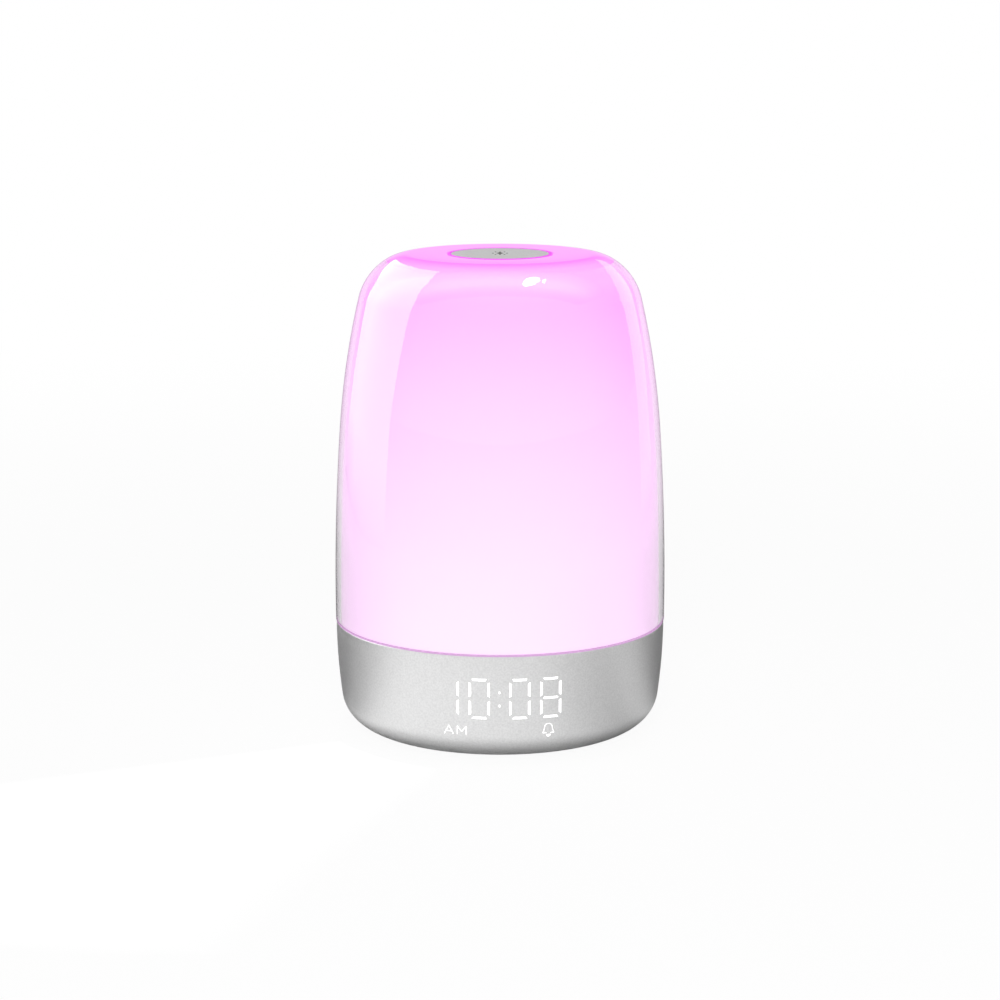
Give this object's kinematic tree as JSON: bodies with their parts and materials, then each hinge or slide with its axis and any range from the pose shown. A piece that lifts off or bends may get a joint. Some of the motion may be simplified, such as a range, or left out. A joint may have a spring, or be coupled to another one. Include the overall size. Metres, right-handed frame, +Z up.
{
  "type": "sleep trainer clock",
  "caption": "Domed bedside sleep trainer clock: clear dome over a glowing diffuser, on a silver bowl with a hidden display, a sprung crown button, sprung rear keys and a power inlet.",
  "frame": {"origin": "on the floor under the middle of the clock, level with the soles of its feet", "axes": "+Z up; the display faces -Y; +X is to the right of a viewer who looks at the display"},
  "size_m": [0.105, 0.105, 0.1516],
  "materials": {
    "silver_paint": "satin silver paint on moulded plastic",
    "key_plastic": "satin grey moulded plastic",
    "clear_plastic": "clear, polished",
    "clear_post": "clear, as moulded",
    "opal_plastic": "opal, lit from inside",
    "frosted_plastic": "frosted, lit from inside",
    "dark_plastic": "fine spark texture",
    "plunger_plastic": "as moulded",
    "white_plastic": "as moulded",
    "rubber": "matt",
    "zinc_steel": "zinc plated",
    "steel_sheet": "nickel plated",
    "board_aluminium": "white solder mask",
    "lamp_package": "moulded lamp package",
    "board_laminate": "green solder mask",
    "speaker_paper": "pressed paper",
    "foam": "closed-cell foam"
  },
  "bodies": {
    "base": {"backup_cell": "steel_sheet", "base_shell": "silver_paint", "board_parts": "dark_plastic", "board_screws": "zinc_steel", "bottom_cover": "dark_plastic", "button_bezel": "frosted_plastic", "cell_holder": "dark_plastic", "cover_screws": "zinc_steel", "crown_switch": "dark_plastic", "display_board": "board_laminate", "display_leds": "lamp_package", "display_lightbox": "white_plastic", "display_screws": "zinc_steel", "inlet_shell": "steel_sheet", "inlet_tongue": "dark_plastic", "inner_diffuser": "opal_plastic", "key_flex": "board_laminate", "key_switches": "dark_plastic", "led_board": "board_aluminium", "led_chips": "lamp_package", "led_screws": "zinc_steel", "light_tray": "frosted_plastic", "main_board": "board_laminate", "outer_dome": "clear_plastic", "rubber_feet": "rubber", "speaker_basket": "steel_sheet", "speaker_cone": "speaker_paper", "speaker_gasket": "foam", "speaker_magnet": "steel_sheet", "speaker_retainer": "dark_plastic", "speaker_screws": "zinc_steel", "switch_board": "board_laminate", "switch_lead": "rubber", "switch_post": "clear_post"},
    "light_button": {"light_button": "silver_paint", "crown_plunger": "plunger_plastic"},
    "minus_key": {"minus_key": "key_plastic", "minus_plunger": "plunger_plastic"},
    "clock_key": {"clock_key": "key_plastic", "clock_plunger": "plunger_plastic"},
    "alarm_key": {"alarm_key": "key_plastic", "alarm_plunger": "plunger_plastic"},
    "plus_key": {"plus_key": "key_plastic", "plus_plunger": "plunger_plastic"}
  },
  "joints": [
    {"name": "light_button_press", "type": "slide", "parent": "base", "child": "light_button", "axis": [0, 0, -1], "range_m": [0, 0.0008], "stiffness_N_per_m": 2500},
    {"name": "minus_key_press", "type": "slide", "parent": "base", "child": "minus_key", "axis": [0.5592, -0.829, 0], "range_m": [0, 0.0005], "stiffness_N_per_m": 2500},
    {"name": "clock_key_press", "type": "slide", "parent": "base", "child": "clock_key", "axis": [0.309, -0.9511, 0], "range_m": [0, 0.0005], "stiffness_N_per_m": 2500},
    {"name": "alarm_key_press", "type": "slide", "parent": "base", "child": "alarm_key", "axis": [-0.309, -0.9511, 0], "range_m": [0, 0.0005], "stiffness_N_per_m": 2500},
    {"name": "plus_key_press", "type": "slide", "parent": "base", "child": "plus_key", "axis": [-0.5592, -0.829, 0], "range_m": [0, 0.0005], "stiffness_N_per_m": 2500}
  ]
}
